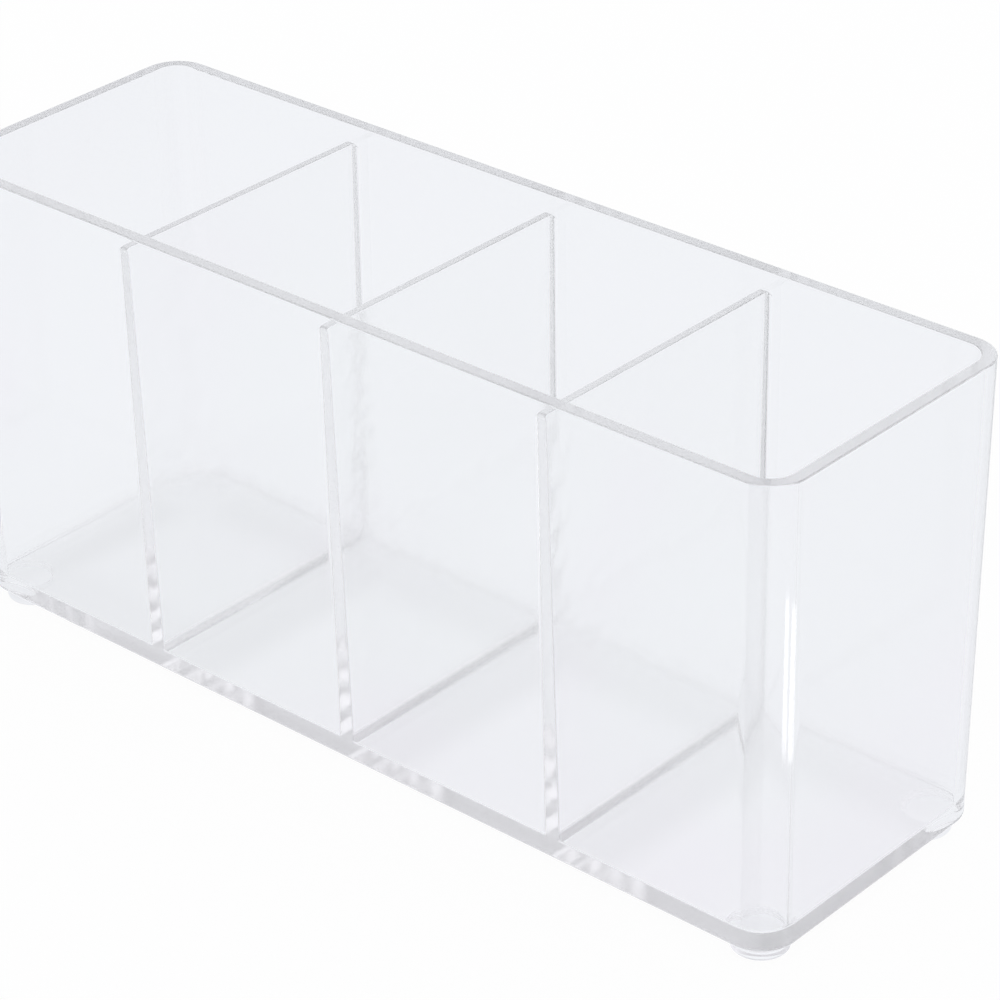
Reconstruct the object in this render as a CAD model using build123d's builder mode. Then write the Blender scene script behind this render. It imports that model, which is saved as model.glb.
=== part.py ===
# Clear acrylic organizer for make-up: a base plate, a leaning wall band, three fixed dividers and four round feet.
# Millimetres, +Z up, +X along the length, origin on the table under the middle of the object.
import os

from build123d import *

# Wall band, measured outside at the rim
length = 220.0
depth = 70.4
body_height = 100.5  # underside of the base to the rim
wall_thickness = 3.0
corner_radius = 8.0
draft_inset = 1.5  # how far each wall leans in between the rim and the base
rim_round = 0.4

# Base plate
base_thickness = 3.0
base_edge_round = 0.8

# Dividers, thinner at the top than at the foot
divider_names = ("divider_left", "divider_middle", "divider_right")
divider_pitch = 54.5
divider_top_thickness = 1.8
divider_foot_thickness = 3.2
divider_drop = 3.7  # rim to the dividers' top edge
divider_corner_round = 1.0

# Feet
foot_diameter = 11.6
foot_height = 3.8
foot_inset = 8.0  # base edge to the middle of a foot
foot_edge_round = 0.8

# Levels above the table
base_level = foot_height
floor_level = base_level + base_thickness
rim_level = base_level + body_height
divider_top_level = rim_level - divider_drop

# Base outline, and the inside of the wall band at the floor and at the rim
base_length = length - 2 * draft_inset
base_depth = depth - 2 * draft_inset
inner_corner_radius = corner_radius - wall_thickness
floor_inner_length = base_length - 2 * wall_thickness
floor_inner_depth = base_depth - 2 * wall_thickness
rim_inner_length = length - 2 * wall_thickness
rim_inner_depth = depth - 2 * wall_thickness

# Depth between the front and back walls at the dividers' top edge
top_share = (divider_top_level - floor_level) / (rim_level - floor_level)
divider_top_depth = floor_inner_depth + (rim_inner_depth - floor_inner_depth) * top_share

middle_index = (len(divider_names) - 1) / 2
divider_places = [(index - middle_index) * divider_pitch for index in range(len(divider_names))]

os.makedirs("parts", exist_ok=True)

# Base plate: flat on both sides, round at its lower edge
with BuildPart() as base_plate:
    with BuildSketch(Plane.XY.offset(base_level)):
        RectangleRounded(base_length, base_depth, corner_radius)
    extrude(amount=base_thickness)
    fillet(base_plate.faces().sort_by(Axis.Z)[0].edges(), radius=base_edge_round)
base_plate.part.label = "base_plate"
export_step(base_plate.part, "parts/base_plate.step")

# Wall band: one continuous wall with round corners, leaning out from the plate to the rim
with BuildPart() as wall_band:
    with BuildSketch(Plane.XY.offset(floor_level)):
        RectangleRounded(base_length, base_depth, corner_radius)
    with BuildSketch(Plane.XY.offset(rim_level)):
        RectangleRounded(length, depth, corner_radius)
    loft(ruled=True)
    with BuildSketch(Plane.XY.offset(floor_level)):
        RectangleRounded(floor_inner_length, floor_inner_depth, inner_corner_radius)
    with BuildSketch(Plane.XY.offset(rim_level)):
        RectangleRounded(rim_inner_length, rim_inner_depth, inner_corner_radius)
    loft(ruled=True, mode=Mode.SUBTRACT)
    fillet(wall_band.faces().sort_by(Axis.Z)[-1].edges(), radius=rim_round)
wall_band.part.label = "wall_band"
export_step(wall_band.part, "parts/wall_band.step")

# Dividers: wedges that stand on the plate and reach from the front wall to the back wall
for name, place in zip(divider_names, divider_places):
    with BuildPart() as divider:
        with BuildSketch(Plane(origin=(place, 0, floor_level))):
            Rectangle(divider_foot_thickness, floor_inner_depth)
        with BuildSketch(Plane(origin=(place, 0, divider_top_level))):
            Rectangle(divider_top_thickness, divider_top_depth)
        loft(ruled=True)
        top_edges = divider.faces().sort_by(Axis.Z)[-1].edges()
        fillet(top_edges.filter_by(Axis.X), radius=divider_corner_round)
    divider.part.label = name
    export_step(divider.part, f"parts/{name}.step")

# Feet: clear pads under the corners, round at their lower edge
for end, end_sign in (("left", -1), ("right", 1)):
    for side, side_sign in (("front", -1), ("back", 1)):
        foot_x = end_sign * (base_length / 2 - foot_inset)
        foot_y = side_sign * (base_depth / 2 - foot_inset)
        with BuildPart() as foot:
            with BuildSketch(Plane(origin=(foot_x, foot_y, 0))):
                Circle(foot_diameter / 2)
            extrude(amount=foot_height)
            fillet(foot.faces().sort_by(Axis.Z)[0].edges(), radius=foot_edge_round)
        foot.part.label = f"foot_{side}_{end}"
        export_step(foot.part, f"parts/foot_{side}_{end}.step")
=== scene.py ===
import math

import bpy
import numpy as np
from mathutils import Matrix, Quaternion, Vector
from mathutils.geometry import tessellate_polygon


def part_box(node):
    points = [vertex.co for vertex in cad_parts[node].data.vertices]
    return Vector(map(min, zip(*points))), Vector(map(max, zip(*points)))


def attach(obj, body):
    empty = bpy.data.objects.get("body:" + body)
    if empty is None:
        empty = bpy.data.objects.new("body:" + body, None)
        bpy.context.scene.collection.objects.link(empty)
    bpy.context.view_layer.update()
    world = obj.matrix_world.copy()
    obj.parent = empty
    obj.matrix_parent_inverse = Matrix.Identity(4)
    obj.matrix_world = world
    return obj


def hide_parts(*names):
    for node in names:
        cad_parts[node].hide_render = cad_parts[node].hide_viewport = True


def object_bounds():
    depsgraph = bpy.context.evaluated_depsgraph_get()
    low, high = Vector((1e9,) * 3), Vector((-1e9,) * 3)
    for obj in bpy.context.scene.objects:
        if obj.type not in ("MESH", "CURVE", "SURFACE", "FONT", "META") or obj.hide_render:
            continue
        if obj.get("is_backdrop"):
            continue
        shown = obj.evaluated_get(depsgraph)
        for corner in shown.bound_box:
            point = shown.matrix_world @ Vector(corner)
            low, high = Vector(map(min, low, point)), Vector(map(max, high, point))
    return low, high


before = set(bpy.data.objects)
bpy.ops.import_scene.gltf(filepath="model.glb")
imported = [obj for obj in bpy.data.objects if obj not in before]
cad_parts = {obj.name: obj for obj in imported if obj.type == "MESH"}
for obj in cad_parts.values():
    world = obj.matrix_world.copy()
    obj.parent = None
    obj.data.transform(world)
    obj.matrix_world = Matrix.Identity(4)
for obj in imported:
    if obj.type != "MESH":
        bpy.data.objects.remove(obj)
cadLow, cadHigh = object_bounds()
print("frame loaded:", len(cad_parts), "nodes")

mm = 0.001  # sizes below are millimetres, meshes are metres
weldStep = 1e-4  # points closer than this become one
dividerNames = ("divider_left", "divider_middle", "divider_right")
footNames = ("foot_front_left", "foot_front_right", "foot_back_left", "foot_back_right")


def boxOf(node):
    # a node's lowest and highest corners in millimetres
    low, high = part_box(node)
    return np.array(low) / mm, np.array(high) / mm


wallLow, wallHigh = boxOf("wall_band")
baseLow, baseHigh = boxOf("base_plate")
floorLevel = wallLow[2]
rimLevel = wallHigh[2]
baseLevel = baseLow[2]
wallHeight = rimLevel - floorLevel


# Patches. Each is a set of points, faces, one normal per face corner, and a flag per face:
# 0 takes the piece's own material, 1 is bonded to a neighbour, 2 takes the piece's third material.

def faceOut(points, faces, normals):
    # turns a patch round when the winding of its faces disagrees with their normals
    a, b, c = (points[faces[:, k]] for k in (0, 1, 2))
    wound = np.cross(b - a, c - a)
    if faces.shape[1] == 4:
        wound = wound + np.cross(c - a, points[faces[:, 3]] - a)
    if (wound * normals.mean(axis=1)).sum() < 0:
        return faces[:, ::-1], normals[:, ::-1]
    return faces, normals


def gridPatch(points, normals, bonded=False):
    # quad (i, j) joins grid points (i, j), (i, j+1), (i+1, j+1), (i+1, j)
    rows, columns = points.shape[:2]
    i, j = np.meshgrid(np.arange(rows - 1), np.arange(columns - 1), indexing="ij")
    corner = i * columns + j
    faces = np.stack((corner, corner + 1, corner + columns + 1, corner + columns), axis=-1).reshape(-1, 4)
    flat = points.reshape(-1, 3)
    faces, cornerNormals = faceOut(flat, faces, normals.reshape(-1, 3)[faces])
    return flat, faces, cornerNormals, np.broadcast_to(bonded, i.shape).reshape(-1)


def flatPatch(outline, normal, bonded=False, holes=()):
    # one flat face inside an outline, or triangles round the holes in it
    loops = [outline, *holes]
    points = np.concatenate(loops)
    if holes:
        faces = np.array(tessellate_polygon([[Vector(p) for p in loop] for loop in loops]))
    else:
        faces = np.arange(len(points))[None, :]
    normals = np.broadcast_to(np.array(normal, float), (*faces.shape, 3)).copy()
    if holes:
        faces, normals = faceOut(points, faces, normals)
    else:
        wound = np.cross(points, np.roll(points, -1, axis=0)).sum(axis=0)
        if wound @ np.array(normal, float) < 0:
            faces = faces[:, ::-1]
    return points, faces, normals, np.full(len(faces), int(bonded))


def makePiece(name, patches, material, third=None):
    # welds the patches into one closed mesh and sets its corner normals
    points = np.concatenate([p[0] for p in patches])
    keys, place = np.unique(np.round(points / weldStep).astype(np.int64), axis=0, return_inverse=True)
    place = place.reshape(-1)
    start = np.cumsum([0] + [len(p[0]) for p in patches])
    faces = [face for p, s in zip(patches, start) for face in place[p[1] + s].tolist()]
    normals = np.concatenate([p[2].reshape(-1, 3) for p in patches])
    bonded = np.concatenate([p[3] for p in patches])
    mesh = bpy.data.meshes.new(name)
    mesh.from_pydata((keys * weldStep * mm).tolist(), [], faces)
    mesh.polygons.foreach_set("material_index", bonded.astype(np.int32))
    mesh.polygons.foreach_set("use_smooth", np.ones(len(faces), bool))
    normals /= np.linalg.norm(normals, axis=1, keepdims=True)
    mesh.normals_split_custom_set(normals.tolist())
    mesh.materials.append(material)
    mesh.materials.append(bondedSeam)
    if third:
        mesh.materials.append(third)
    mesh.update()
    piece = bpy.data.objects.new(name, mesh)
    bpy.context.scene.collection.objects.link(piece)
    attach(piece, "root")
    print("made", name, len(faces), "faces")
    return piece


# Shader maths

class Wire:
    # an output socket; arithmetic on it adds Math nodes, node() adds any other
    def __init__(self, tree, socket=None):
        self.tree = tree
        self.socket = socket

    def node(self, kind, settings=None, inputs=None, output=0):
        made = self.tree.nodes.new(kind)
        for name, value in (settings or {}).items():
            setattr(made, name, value)
        for name, value in (inputs or {}).items():
            if isinstance(value, Wire):
                self.tree.links.new(value.socket, made.inputs[name])
            else:
                made.inputs[name].default_value = value
        return Wire(self.tree, made.outputs[output] if len(made.outputs) else None)

    def math(self, operation, first, second):
        return self.node("ShaderNodeMath", {"operation": operation}, {0: first, 1: second})

    def __add__(self, other):
        return self.math("ADD", self, other)

    def __radd__(self, other):
        return self.math("ADD", other, self)

    def __sub__(self, other):
        return self.math("SUBTRACT", self, other)

    def __rsub__(self, other):
        return self.math("SUBTRACT", other, self)

    def __mul__(self, other):
        return self.math("MULTIPLY", self, other)

    def __rmul__(self, other):
        return self.math("MULTIPLY", other, self)

    def limit(self, low, high):
        return self.math("MINIMUM", self.math("MAXIMUM", self, low), high)

    def ramp(self, low, high):
        # 0 below low, 1 above high, straight between
        return ((self - low) * (1 / (high - low))).limit(0.0, 1.0)

    def size(self):
        return self.math("ABSOLUTE", self, 0.0)

    def parts(self, vector):
        # the three numbers of a vector
        outputs = self.node("ShaderNodeSeparateXYZ", None, {"Vector": vector}).socket.node.outputs
        return [Wire(self.tree, output) for output in outputs]


def newMaterial(name):
    material = bpy.data.materials.new(name)
    material.use_nodes = True
    material.node_tree.nodes.clear()
    return material, Wire(material.node_tree)


def objectPlace(wire):
    return wire.node("ShaderNodeTexCoord", output="Object")


acrylic = {
    "ior": 1.49,
    "clear": (0.996, 0.999, 0.998, 1.0),
    "lavender": (0.999, 0.99, 1.0, 1.0),
    "blotchScale": 16.0,  # per metre, size of the soft blotches of painted lavender reflection
    "paintedReflection": (0.5, 4.0),  # where the painted lavender reflection starts, and how fast it comes
    "faceRough": (0.055, 0.045),  # least, and how much the blotches add
    "hazeRough": (0.17, 0.06),  # inside of the front corners, where a cloth hardly reaches
    "baseRough": (0.04, 0.04),
    "scuffRough": (0.06, 0.06),
    "faceRipple": (45.0, 0.00002),  # waves per metre, and their height in metres
    "dividerRipple": (220.0, 0.00006),
}


def makeAcrylic(name, rough, wave):
    material, wire = newMaterial(name)
    place = objectPlace(wire)
    blotchNoise = wire.node(
        "ShaderNodeTexNoise", None, {"Vector": place, "Scale": acrylic["blotchScale"], "Detail": 1.0})
    ripple = wire.node("ShaderNodeTexNoise", None, {"Vector": place, "Scale": wave[0], "Detail": 0.0})
    start, speed = acrylic["paintedReflection"]
    paintedReflection = ((blotchNoise - start) * speed).limit(0.0, 1.0)
    # the lavender blotches in the tint are a painted reflection of lavender lights; the same noise also
    # varies the roughness
    tint = wire.node(
        "ShaderNodeMix", {"data_type": "RGBA"},
        {"Factor": paintedReflection, 6: acrylic["clear"], 7: acrylic["lavender"]}, output=2)
    bump = wire.node(
        "ShaderNodeBump", None,
        {"Height": ripple, "Strength": 1.0, "Distance": wave[1]})
    surface = wire.node("ShaderNodeBsdfPrincipled", None, {
        "Base Color": tint,
        "Roughness": rough[0] + blotchNoise * rough[1],
        "IOR": acrylic["ior"],
        "Transmission Weight": 1.0,
        "Normal": bump,
    })
    wire.node("ShaderNodeOutputMaterial", None, {"Surface": surface})
    return material


pad = {
    "ior": 1.49,
    "clear": (0.998, 0.999, 1.0, 1.0),
    "cloudy": (0.988, 0.99, 0.994, 1.0),
    "cloudScale": 260.0,
    "rough": (0.02, 0.03),  # least, and how much the clouds add
}


def makePad():
    material, wire = newMaterial("clearPad")
    cloud = wire.node(
        "ShaderNodeTexNoise", None,
        {"Vector": objectPlace(wire), "Scale": pad["cloudScale"], "Detail": 2.0})
    tint = wire.node(
        "ShaderNodeMix", {"data_type": "RGBA"},
        {"Factor": cloud, 6: pad["clear"], 7: pad["cloudy"]}, output=2)
    surface = wire.node("ShaderNodeBsdfPrincipled", None, {
        "Base Color": tint,
        "Roughness": pad["rough"][0] + cloud * pad["rough"][1],
        "IOR": pad["ior"],
        "Transmission Weight": 1.0,
    })
    wire.node("ShaderNodeOutputMaterial", None, {"Surface": surface})
    return material


def makeSeam():
    # faces where two pieces are cemented together, which light crosses unbent
    material, wire = newMaterial("bondedSeam")
    surface = wire.node("ShaderNodeBsdfPrincipled", None, {"Alpha": 0.0, "Base Color": acrylic["clear"]})
    wire.node("ShaderNodeOutputMaterial", None, {"Surface": surface})
    return material


clearAcrylic = makeAcrylic("clearAcrylic", acrylic["faceRough"], acrylic["faceRipple"])
hazyAcrylic = makeAcrylic("hazyAcrylic", acrylic["hazeRough"], acrylic["faceRipple"])
wavyAcrylic = makeAcrylic("wavyAcrylic", acrylic["faceRough"], acrylic["dividerRipple"])
baseAcrylic = makeAcrylic("baseAcrylic", acrylic["baseRough"], acrylic["faceRipple"])
scuffedAcrylic = makeAcrylic("scuffedAcrylic", acrylic["scuffRough"], acrylic["faceRipple"])
clearPad = makePad()
bondedSeam = makeSeam()
print("materials made")


# Rails. A rail's point at inset s is point + s * inward, with a plan normal in each column.

def cornerArc(centre, radius, startAngle, steps):
    # a quarter circle about the centre: centre + radius * (cos a, sin a)
    angle = np.radians(startAngle) + np.linspace(0, math.pi / 2, steps + 1)
    normal = np.stack((np.cos(angle), np.sin(angle)), axis=-1)
    return np.array(centre) + radius * normal, normal


def roundRail(halfLength, halfDepth, radius, steps, lean=0.0, stops=()):
    # anticlockwise round a rectangle with round corners; drift is how each column moves from floor to rim
    stops = np.array(stops, float).reshape(-1, 2)
    stops = stops[np.argsort(stops[:, 0])]
    parts = []
    for turn, (signX, signY) in enumerate(((1, -1), (1, 1), (-1, 1), (-1, -1))):
        if signX * signY < 0:  # before the front right and back left corners lie the two long sides
            order = stops if signY < 0 else stops[::-1]
            side = np.zeros((len(order), 2)) + (0, signY)
            spots = np.stack((order[:, 0], np.full(len(order), signY * halfDepth)), axis=-1)
            drift = np.stack((order[:, 1], np.full(len(order), signY * lean)), axis=-1)
            parts.append((spots, side, drift))
        centre = (signX * (halfLength - radius), signY * (halfDepth - radius))
        spots, normal = cornerArc(centre, radius, 90 * turn - 90, steps)
        parts.append((spots, normal, np.zeros_like(normal) + (signX * lean, signY * lean)))
    point, normal, drift = (np.concatenate([p[k] for p in parts]) for k in range(3))
    close = np.r_[np.arange(len(point)), 0]
    return {"point": point[close], "inward": -normal[close], "normal": normal[close], "drift": drift[close]}


def carry(rail, inset, level, share=None):
    # rows of (inset, level) carried along a rail: point + inset * inward + share * drift
    inset = np.array(inset, float)[:, None, None]
    flat = rail["point"] + inset * rail["inward"]
    if share is not None:
        flat = flat + np.array(share, float)[:, None, None] * rail["drift"]
    height = np.broadcast_to(np.array(level, float)[:, None, None], (*flat.shape[:2], 1))
    return np.concatenate((flat, height), axis=2)


def turned(rail, out, up):
    # row normals: out along the rail's plan normal, up along z
    out = np.array(out, float)[:, None, None] * rail["normal"]
    up = np.broadcast_to(np.array(up, float)[:, None, None], (*out.shape[:2], 1))
    return np.concatenate((out, up), axis=2)


def lineOf(count, low, high):
    return np.linspace(low, high, count + 1)


# Where the dividers stand
dividerSpots = {}
for name in dividerNames:
    low, high = boxOf(name)
    dividerSpots[name] = {
        "x": (low[0] + high[0]) / 2,
        "footHalf": (high[0] - low[0]) / 2,
        "top": high[2],
    }
dividerTop = dividerSpots[dividerNames[0]]["top"]


def shareAt(level):
    # how far up the wall a level lies, 0 at the floor and 1 at the rim
    return (np.array(level, float) - floorLevel) / wallHeight


# Wall band: a wall section carried round the outline, with a round on both rim edges
wallBand = {
    "thickness": 3.0,
    "cornerRadius": 8.0,
    "lean": 1.5,  # each side moves out this far between floor and rim
    "rimRound": 0.4,
    "cornerSteps": 28,
    "rimSteps": 6,
    "straight": 0.9999,  # a normal this close to an axis belongs to a straight side
    "hazeEnd": 0.8,  # the front corners are hazy until their normal turns this far from the front
}


def makeWallBand():
    topHalf = divider["topThickness"] / 2
    stops = []
    for spot in dividerSpots.values():
        half = spot["footHalf"] + divider["flare"]
        drift = (spot["footHalf"] - topHalf) * wallHeight / (spot["top"] - floorLevel)
        stops += [(spot["x"] - half, drift), (spot["x"] + half, -drift)]
    lean = wallBand["lean"]
    rail = roundRail(
        wallHigh[0] - lean, wallHigh[1] - lean,
        wallBand["cornerRadius"], wallBand["cornerSteps"], lean, stops)
    slope = (rail["normal"] * rail["drift"]).sum(axis=1) / wallHeight
    thick, rim = wallBand["thickness"], wallBand["rimRound"]
    angle = lineOf(wallBand["rimSteps"], 0, math.pi / 2)

    def leaning(rows, sign):
        # normal of a leaning side: sign * (plan normal - slope * z)
        normal = np.concatenate((rail["normal"], -slope[:, None]), axis=1) * sign
        return np.broadcast_to(normal, (rows, *normal.shape)).copy()

    def rows(inset, level):
        return carry(rail, inset, level, shareAt(level))

    patches = []
    outerLevels = [floorLevel, rimLevel - rim]
    patches.append(gridPatch(rows([0, 0], outerLevels), leaning(2, 1)))
    round1 = rim - rim * np.cos(angle)
    lift = rimLevel - rim + rim * np.sin(angle)
    patches.append(gridPatch(rows(round1, lift), turned(rail, np.cos(angle), np.sin(angle))))
    patches.append(gridPatch(rows([rim, thick - rim], [rimLevel, rimLevel]), turned(rail, [0, 0], [1, 1])))
    patches.append(gridPatch(rows(thick - round1, lift), turned(rail, -np.cos(angle), np.sin(angle))))
    innerLevels = [rimLevel - rim, jointTop, beadTop, floorLevel]
    inner = rows([thick] * 4, innerLevels)
    middleX = (inner[0, 1:, 0] + inner[0, :-1, 0]) / 2
    onSide = abs(rail["normal"][1:, 1]) > wallBand["straight"]
    half = topHalf + divider["flare"]
    atDivider = onSide & np.any([abs(middleX - s["x"]) < half for s in dividerSpots.values()], axis=0)
    middleY = (rail["normal"][1:, 1] + rail["normal"][:-1, 1]) / 2
    hazy = 2 * ((middleY < -wallBand["hazeEnd"]) & (middleY > -wallBand["straight"]))
    bonded = np.stack((hazy, np.where(atDivider, 1, hazy), np.ones_like(hazy)))
    patches.append(gridPatch(inner, leaning(4, -1), bonded))
    patches.append(gridPatch(
        rows([thick, 0], [floorLevel, floorLevel]), turned(rail, [0, 0], [-1, -1]), True))
    piece = makePiece("wallBand", patches, clearAcrylic, hazyAcrylic)
    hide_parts("wall_band")


# Dividers: a tapering section carried from wall to wall, flared at both ends and rounded at the top corners
divider = {
    "topThickness": 1.8,
    "cornerRound": 1.0,  # top corners, where they meet the walls
    "edgeRound": 0.3,
    "flare": 0.6,  # small fillet up each wall
    "arcSteps": 6,
}
jointTop = dividerTop - divider["cornerRound"]


def makeDivider(node, number):
    spot = dividerSpots[node]
    flare, corner, edge = divider["flare"], divider["cornerRound"], divider["edgeRound"]
    topHalf = divider["topThickness"] / 2
    steps = divider["arcSteps"]
    bow = lineOf(steps, 0, math.pi / 2)
    near = np.r_[flare * (1 - np.cos(bow)), corner * (1 - np.cos(bow))]  # distances from the wall
    near = np.unique(near.round(6))
    away = np.r_[near, near[::-1]]
    end = np.r_[-np.ones(len(near)), np.ones(len(near))]
    flareLeft = np.clip(flare - away, 0, None)
    widen = flare - np.sqrt(flare ** 2 - flareLeft ** 2)
    cornerLeft = np.clip(corner - away, 0, None)
    drop = corner - np.sqrt(corner ** 2 - cornerLeft ** 2)
    taper = (spot["footHalf"] - topHalf) / (spot["top"] - floorLevel)

    def halfAt(level):
        return topHalf + taper * (spot["top"] - level)

    def reachAt(level):
        # half the depth between the walls at a level
        return wallHigh[1] - wallBand["lean"] * (1 - shareAt(level)) - wallBand["thickness"]

    def section(inset, level):
        # rows of (inset from the side face, level), columns along the depth
        level = np.array(level, float)[:, None] - drop * (np.array(level, float)[:, None] > beadTop)
        x = halfAt(level) + widen - np.array(inset, float)[:, None]
        y = end * (reachAt(level) - away)
        return np.stack((x, np.broadcast_to(y, x.shape), np.broadcast_to(level, x.shape)), axis=-1)

    sideLean = flareLeft / flare  # how far the side's normal turns away from the wall
    sideLevels = [floorLevel, beadTop, spot["top"] - edge]
    sideNormal = np.stack((np.sqrt(1 - sideLean ** 2), -end * sideLean, np.full(len(end), taper)), axis=-1)
    sideNormal = np.broadcast_to(sideNormal, (3, *sideNormal.shape))
    sideBonded = np.array([[True], [False]])
    mirror = np.array([-1.0, 1.0, 1.0])
    right = section([0, 0, 0], sideLevels)
    turn = lineOf(steps, 0, math.pi / 2)
    rise = section(edge - edge * np.cos(turn), spot["top"] - edge + edge * np.sin(turn))
    topLean = cornerLeft / corner
    crown = np.stack((np.zeros(len(end)), end * topLean, np.sqrt(1 - topLean ** 2)), axis=-1)
    riseNormal = np.cos(turn)[:, None, None] * sideNormal[0] + np.sin(turn)[:, None, None] * crown
    over = np.concatenate((rise, rise[::-1] * mirror))
    overNormal = np.concatenate((riseNormal, riseNormal[::-1] * mirror))
    left = right * mirror
    shift = np.array([spot["x"], 0.0, 0.0])
    patches = [
        gridPatch(right + shift, sideNormal.copy(), sideBonded),
        gridPatch(left + shift, sideNormal * mirror, sideBonded),
        gridPatch(over + shift, overNormal),
    ]
    for column, sign in ((0, -1.0), (-1, 1.0)):
        rim = np.concatenate((right[:, column], over[1:-1, column], left[::-1, column]))
        patches.append(flatPatch(rim + shift, (0, sign, 0), True))
    sole = np.concatenate((right[0], left[0][::-1]))
    patches.append(flatPatch(sole + shift, (0, 0, -1), True))
    piece = makePiece(f"divider{number}", patches, wavyAcrylic)
    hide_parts(node)


# Base plate: round lower edge, four floors with a bead up to the walls and dividers
basePlate = {
    "edgeRound": 0.8,
    "bead": 0.9,  # fillet round each floor
    "beadSteps": 8,
    "edgeSteps": 8,
    "lip": 0.01,  # thickness left at the top of the bead
}
beadTop = floorLevel + basePlate["bead"]


def pocketRails(lowX, highX, halfDepth, roundLow, roundHigh):
    # open rails round one floor, broken at its sharp corners
    radius = wallBand["cornerRadius"] - wallBand["thickness"]
    corners = (
        (highX, -halfDepth, 1, -1, roundHigh), (highX, halfDepth, 1, 1, roundHigh),
        (lowX, halfDepth, -1, 1, roundLow), (lowX, -halfDepth, -1, -1, roundLow))
    runs = [[]]
    for turn, (x, y, signX, signY, isRound) in enumerate(corners):
        before = np.array([math.cos(math.radians(90 * turn - 90)), math.sin(math.radians(90 * turn - 90))])
        after = np.array([-before[1], before[0]])
        if isRound:
            centre = (x - signX * radius, y - signY * radius)
            spots, normal = cornerArc(centre, radius, 90 * turn - 90, wallBand["cornerSteps"])
            runs[-1].append((spots, -normal, normal))
        else:
            mitre = np.array([[-signX, -signY]], float)
            spot = np.array([[x, y]], float)
            runs[-1].append((spot, mitre, before[None]))
            runs.append([(spot, mitre, after[None])])
    runs[0] = runs.pop() + runs[0]
    rails = []
    for run in runs:
        point, inward, normal = (np.concatenate([part[k] for part in run]) for k in range(3))
        rails.append({"point": point, "inward": inward, "normal": normal})
    return rails


def makeBasePlate():
    bead, lip, edge = basePlate["bead"], basePlate["lip"], basePlate["edgeRound"]
    halfLength, halfDepth = baseHigh[0], baseHigh[1]
    rail = roundRail(halfLength, halfDepth, wallBand["cornerRadius"], wallBand["cornerSteps"])
    angle = lineOf(basePlate["edgeSteps"], 0, math.pi / 2)
    patches = []
    patches.append(gridPatch(
        carry(rail, edge - edge * np.cos(angle), baseLevel + edge - edge * np.sin(angle)),
        turned(rail, np.cos(angle), -np.sin(angle))))
    patches.append(gridPatch(
        carry(rail, [0, 0], [baseLevel + edge, floorLevel]), turned(rail, [1, 1], [0, 0])))
    thick = wallBand["thickness"]
    spots = [dividerSpots[name] for name in dividerNames]
    lows = [-halfLength + thick] + [s["x"] + s["footHalf"] for s in spots]
    highs = [s["x"] - s["footHalf"] for s in spots] + [halfLength - thick]
    curve = lineOf(basePlate["beadSteps"], 0, math.pi / 2)
    holes = []
    for index, (low, high) in enumerate(zip(lows, highs)):
        rails = pocketRails(low, high, halfDepth - thick, index == 0, index == len(lows) - 1)
        outline, ring = [], []
        for side in rails:
            patches.append(gridPatch(
                carry(side, [0, 0], [floorLevel, beadTop]), turned(side, [1, 1], [0, 0]), True))
            patches.append(gridPatch(
                carry(side, [0, lip], [beadTop, beadTop]), turned(side, [0, 0], [1, 1])))
            patches.append(gridPatch(
                carry(side, bead - (bead - lip) * np.cos(curve), beadTop - bead * np.sin(curve)),
                turned(side, -np.cos(curve), np.sin(curve))))
            outline.append(carry(side, [0], [floorLevel])[0][:-1])
            ring.append(carry(side, [bead], [floorLevel])[0][:-1])
        holes.append(np.concatenate(outline))
        patches.append(flatPatch(np.concatenate(ring), (0, 0, 1)))
    patches.append(flatPatch(carry(rail, [0], [floorLevel])[0][:-1], (0, 0, 1), True, holes))
    seats = [footCircle(node, baseLevel) for node in footNames if node not in foot["loose"]]
    patches.append(flatPatch(carry(rail, [edge], [baseLevel])[0][:-1], (0, 0, -1), 2, seats))
    patches += [flatPatch(seat, (0, 0, -1), True) for seat in seats]
    piece = makePiece("basePlate", patches, baseAcrylic, scuffedAcrylic)
    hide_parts("base_plate")


# Feet: a pad profile turned about its upright axis
foot = {
    "edgeRound": 0.8,
    "loose": ("foot_front_right", "foot_back_left"),  # pads that have come off their cement
    "film": 0.03,  # air left between a loose pad and the base
    "raised": ("foot_front_right",),  # pads that don't quite touch the paper
    "lift": 0.09,
    "groove": {"level": 2.2, "half": 0.35, "depth": 0.25, "steps": 12},  # moulded line round each pad
    "edgeSteps": 8,
    "turnSteps": 72,
}


def footCircle(node, level, inset=0.0):
    low, high = boxOf(node)
    angle = np.linspace(0, 2 * math.pi, foot["turnSteps"], endpoint=False)
    radius = (high[0] - low[0]) / 2 - inset
    x = (low[0] + high[0]) / 2 + radius * np.cos(angle)
    y = (low[1] + high[1]) / 2 + radius * np.sin(angle)
    return np.stack((x, y, np.full(len(angle), level)), axis=-1)


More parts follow.
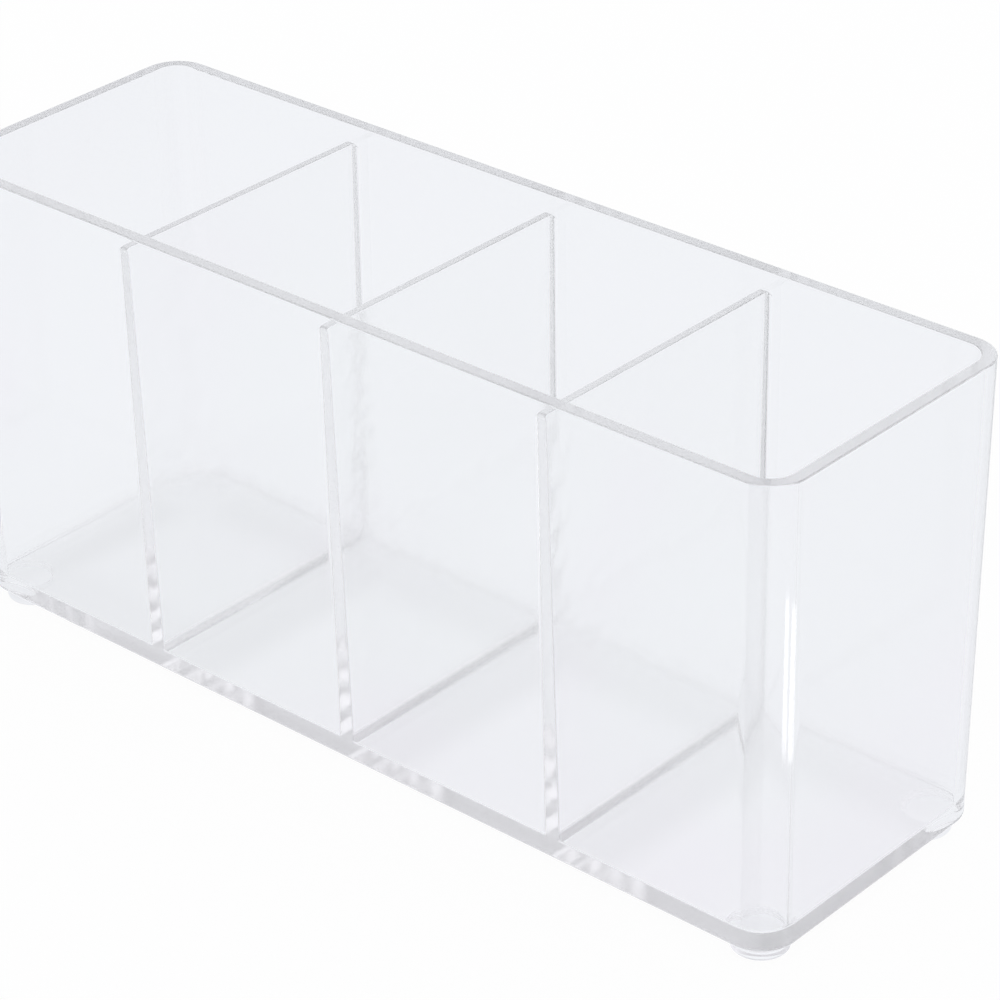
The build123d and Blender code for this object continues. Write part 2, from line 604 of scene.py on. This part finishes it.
def makeFoot(node, number):
    edge = foot["edgeRound"]
    loose = node in foot["loose"]
    bow = lineOf(foot["edgeSteps"], 0, math.pi / 2)
    # the groove's depth at height t of its half width: depth * (1 + cos(pi t)) / 2
    groove = foot["groove"]
    across = lineOf(groove["steps"], 1, -1)
    dip = groove["depth"] * (1 + np.cos(math.pi * across)) / 2
    tilt = -groove["depth"] * math.pi * np.sin(math.pi * across) / (2 * groove["half"])
    lift = foot["lift"] * (node in foot["raised"])
    inset = np.r_[0.0, dip, edge - edge * np.cos(bow)]
    level = np.r_[
        baseLevel - foot["film"] * loose, groove["level"] + groove["half"] * across,
        lift + edge - edge * np.sin(bow)]
    out = np.r_[1.0, np.ones(len(across)), np.cos(bow)]
    up = np.r_[0.0, tilt, -np.sin(bow)]
    points = np.stack([footCircle(node, z, s) for s, z in zip(inset, level)])
    angle = np.linspace(0, 2 * math.pi, foot["turnSteps"], endpoint=False)
    around = np.stack((np.cos(angle), np.sin(angle)), axis=-1)
    normals = np.concatenate((
        out[:, None, None] * around, np.broadcast_to(up[:, None, None], (len(up), len(angle), 1))), axis=2)
    wrap = np.r_[np.arange(len(angle)), 0]
    patches = [
        gridPatch(points[:, wrap], normals[:, wrap]),
        flatPatch(points[-1], (0, 0, -1)),
        flatPatch(points[0], (0, 0, 1), not loose),
    ]
    piece = makePiece(f"foot{number}", patches, clearPad)
    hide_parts(node)


makeWallBand()
makeBasePlate()
for number, name in enumerate(dividerNames, 1):
    makeDivider(name, number)
for number, name in enumerate(footNames, 1):
    makeFoot(name, number)
print("pieces made")


# Camera at the photograph's viewing angle
view = {
    "place": (0.45518, -0.48771, 0.42545),
    "azimuth": 42.144,
    "elevation": 29.497,
    "roll": -1.237,
    "lens": 137.088,
    "sensor": 36.0,
    "clipStart": 0.05,
}


def makeCamera():
    data = bpy.data.cameras.new("camera")
    data.lens = view["lens"]
    data.sensor_width = view["sensor"]
    data.clip_start = view["clipStart"]
    camera = bpy.data.objects.new("camera", data)
    azimuth, elevation = math.radians(view["azimuth"]), math.radians(view["elevation"])
    back = Vector((
        math.sin(azimuth) * math.cos(elevation),
        -math.cos(azimuth) * math.cos(elevation),
        math.sin(elevation)))
    turn = (-back).to_track_quat("-Z", "Y") @ Quaternion((0, 0, 1), math.radians(view["roll"]))
    camera.location = view["place"]
    camera.rotation_euler = turn.to_euler()
    bpy.context.scene.collection.objects.link(camera)
    bpy.context.scene.camera = camera


makeCamera()


# Floor, world and lamps
studio = {
    "floorReach": 3.0,
    "floorRise": 0.00003,  # the soft pads touch the paper closely, so light goes straight from it into them
    "floorColour": (0.88, 0.885, 0.895, 1.0),
    "floorGlow": 0.97,  # share of plain white that the camera sees straight on
    "throughColour": (0.952, 0.965, 1.0, 1.0),  # floor as seen through the plastic
    "throughGlow": 0.97,
    # floor levels with painted light and shade: a painted shadow under the object that gets lighter to the
    # right, a painted contact shadow at its outline, a painted lighter ring round it, and painted light
    # towards the front
    "paintedTone": {
        "underLeft": 0.95, "underRight": 0.978, "paintedShadow": 0.07,
        "edge": 0.93, "near": 0.945, "far": 0.937, "front": 1.03},
    # where the floor's painted light and shade change, in metres from the object's outline or from its
    # middle
    "fade": {
        "inside": (-0.008, 0.004), "edge": (0.0, 0.03), "far": (0.06, 0.15),
        "front": (0.06, 0.12), "across": (-0.1, 0.02)},
    # where the painted shadow lies, and its strength at the back and at the left end's front
    "paintedShade": {
        "back": (0.017, 0.026), "backShare": 0.75,
        "left": (0.055, 0.058), "leftFront": (0.008, 0.016), "leftShare": 0.5,
        "beforeWall": (-0.007, -0.004), "afterWall": (0.008, 0.015),
        "padLeft": (0.092, 0.097), "padBack": (0.017, 0.022)},
    "tent": {
        "backLeft": 0.65, "backRight": 1.06, "frontLeft": 0.7, "frontRight": 0.95, "ceiling": 1.14,
        "blend": (-0.3, 0.3), "ceilingFrom": (0.6, 1.0)},
    "tentColour": (0.966, 0.961, 1.0, 1.0),
    "bounces": 256,
    "diffuseBounces": 2,
}


def makeFloor():
    # a flat square sheet, point = reach * (u, v, 0)
    reach = studio["floorReach"]
    u, v = np.meshgrid([-reach, reach], [-reach, reach])
    points = np.stack((u, v, np.full(u.shape, studio["floorRise"])), axis=-1).reshape(-1, 3)
    mesh = bpy.data.meshes.new("floor")
    mesh.from_pydata(points.tolist(), [], [(0, 1, 3, 2)])
    material, wire = newMaterial("floorPaper")
    seen = wire.node("ShaderNodeLightPath", output="Is Camera Ray")
    mirrored = wire.node("ShaderNodeLightPath", output="Is Glossy Ray")
    bent = wire.node("ShaderNodeLightPath", output="Is Transmission Ray")
    through = wire.math("MAXIMUM", mirrored, bent) * (1 - seen)
    x, y, _ = wire.parts(objectPlace(wire))
    gap = wire.math("MAXIMUM", x.size() - cadHigh[0], y.size() - cadHigh[1])  # how far outside the object
    left = -1 * x
    front = -1 * y
    paintedTone, fade, paintedShade = studio["paintedTone"], studio["fade"], studio["paintedShade"]
    inside = 1 - gap.ramp(*fade["inside"])
    # painted contact shadow at the outline, then a painted lighter ring round it, then painted light
    # towards the front
    level = paintedTone["edge"] + (paintedTone["near"] - paintedTone["edge"]) * gap.ramp(*fade["edge"])
    level = level + (paintedTone["far"] - paintedTone["near"]) * gap.ramp(*fade["far"])
    level = level + (paintedTone["front"] - paintedTone["far"]) * front.ramp(*fade["front"])
    # painted shadow: a soft shade painted in front of the back wall and right of the left wall and each
    # divider, as a light high at the back left would cast it
    paintedShadow = y.ramp(*paintedShade["back"]) * paintedShade["backShare"]
    # painted shade over the front of the left end's floor
    leftEnd = left.ramp(*paintedShade["left"]) * front.ramp(*paintedShade["leftFront"]) * paintedShade["leftShare"]
    paintedShadow = wire.math("MAXIMUM", paintedShadow, leftEnd)
    for wall in (-cadHigh[0], *(spot["x"] * mm for spot in dividerSpots.values())):
        beside = x - wall
        along = beside.ramp(*paintedShade["beforeWall"]) * (1 - beside.ramp(*paintedShade["afterWall"]))
        paintedShadow = wire.math("MAXIMUM", paintedShadow, along)
    # the painted shadow stops short of the back left pad, so the floor under that pad is painted lighter;
    # the pad dims it by itself
    paintedShadow = paintedShadow * (1 - left.ramp(*paintedShade["padLeft"]) * y.ramp(*paintedShade["padBack"]))
    # painted shadow under the object, lighter towards the right
    under = paintedTone["underLeft"] + (paintedTone["underRight"] - paintedTone["underLeft"]) * x.ramp(*fade["across"])
    under = under - paintedTone["paintedShadow"] * paintedShadow
    level = level + (under - level) * inside
    plain = wire.node("ShaderNodeBsdfDiffuse", None, {"Color": studio["floorColour"]})
    white = wire.node("ShaderNodeEmission", None, {"Color": (1, 1, 1, 1), "Strength": 1.0})
    red, green, blue, _ = studio["throughColour"]
    colour = wire.node("ShaderNodeCombineColor", None, {0: level * red, 1: level * green, 2: level * blue})
    pale = wire.node("ShaderNodeEmission", None, {"Color": colour, "Strength": 1.0})
    inner = wire.node("ShaderNodeMixShader", None, {0: through * studio["throughGlow"], 1: plain, 2: pale})
    mixed = wire.node("ShaderNodeMixShader", None, {0: seen * studio["floorGlow"], 1: inner, 2: white})
    wire.node("ShaderNodeOutputMaterial", None, {"Surface": mixed})
    mesh.materials.append(material)
    floor = bpy.data.objects.new("floor", mesh)
    bpy.context.scene.collection.objects.link(floor)
    floor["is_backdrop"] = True


def makeWorld():
    # a tent with four soft sides and a ceiling: each side's level is blended by the direction's x and y
    world = bpy.data.worlds.new("studioAir")
    bpy.context.scene.world = world
    world.use_nodes = True
    world.node_tree.nodes.clear()
    wire = Wire(world.node_tree)
    x, y, z = wire.parts(wire.node("ShaderNodeTexCoord", output="Generated"))
    tent = studio["tent"]
    right = x.ramp(*tent["blend"])
    back = y.ramp(*tent["blend"])
    high = z.ramp(*tent["ceilingFrom"])
    far = right * tent["backRight"] + (1 - right) * tent["backLeft"]
    near = right * tent["frontRight"] + (1 - right) * tent["frontLeft"]
    sides = back * far + (1 - back) * near
    level = sides * (1 - high) + high * tent["ceiling"]
    seen = wire.node("ShaderNodeLightPath", output="Is Camera Ray")
    red, green, blue, _ = studio["tentColour"]
    colour = wire.node("ShaderNodeCombineColor", None, {0: level * red, 1: level * green, 2: level * blue})
    air = wire.node("ShaderNodeBackground", None, {"Color": colour, "Strength": 1.0})
    white = wire.node("ShaderNodeBackground", None, {"Color": (1, 1, 1, 1), "Strength": 1.0})
    mixed = wire.node("ShaderNodeMixShader", None, {0: seen, 1: air, 2: white})
    wire.node("ShaderNodeOutputWorld", None, {"Surface": mixed})


strip = {
    "corner": (0.102, -0.0272),  # middle of the front right corner's round
    "heading": 18.0,  # degrees from +x, the way that the corner mirrors towards the camera
    "away": 0.072,
    "width": 0.02,
    "height": 0.031,
    "middle": 0.018,  # height of its middle above the floor
    "tilt": 29.5,  # degrees up
    "spread": 36.0,  # degrees, a grid keeps its light off the other sides
    "level": 5.0,
}


def makeStrip():
    # a low strip light with a grid, which the round front corner mirrors as a bright line
    angle = math.radians(strip["heading"])
    half = math.radians(strip["spread"]) / 2
    gain = math.tan(half) / (math.tan(half) - half)  # how much brighter the grid makes the beam's middle
    data = bpy.data.lights.new("strip", "AREA")
    data.shape = "RECTANGLE"
    data.size, data.size_y = strip["width"], strip["height"]
    data.spread = 2 * half
    data.energy = strip["level"] * math.pi * strip["width"] * strip["height"] / gain
    lamp = bpy.data.objects.new("strip", data)
    lamp.location = (
        strip["corner"][0] + strip["away"] * math.cos(angle),
        strip["corner"][1] + strip["away"] * math.sin(angle), strip["middle"])
    lamp.rotation_euler = (math.pi / 2 + math.radians(strip["tilt"]), 0, angle + math.pi / 2)
    lamp.visible_camera = False
    bpy.context.scene.collection.objects.link(lamp)


def setRender():
    scene = bpy.context.scene
    scene.view_settings.view_transform = "Standard"
    for name in ("max_bounces", "glossy_bounces", "transmission_bounces", "transparent_max_bounces"):
        setattr(scene.cycles, name, studio["bounces"])
    scene.cycles.diffuse_bounces = studio["diffuseBounces"]


makeFloor()
makeWorld()
makeStrip()
setRender()
print("stage made")

low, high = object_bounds()
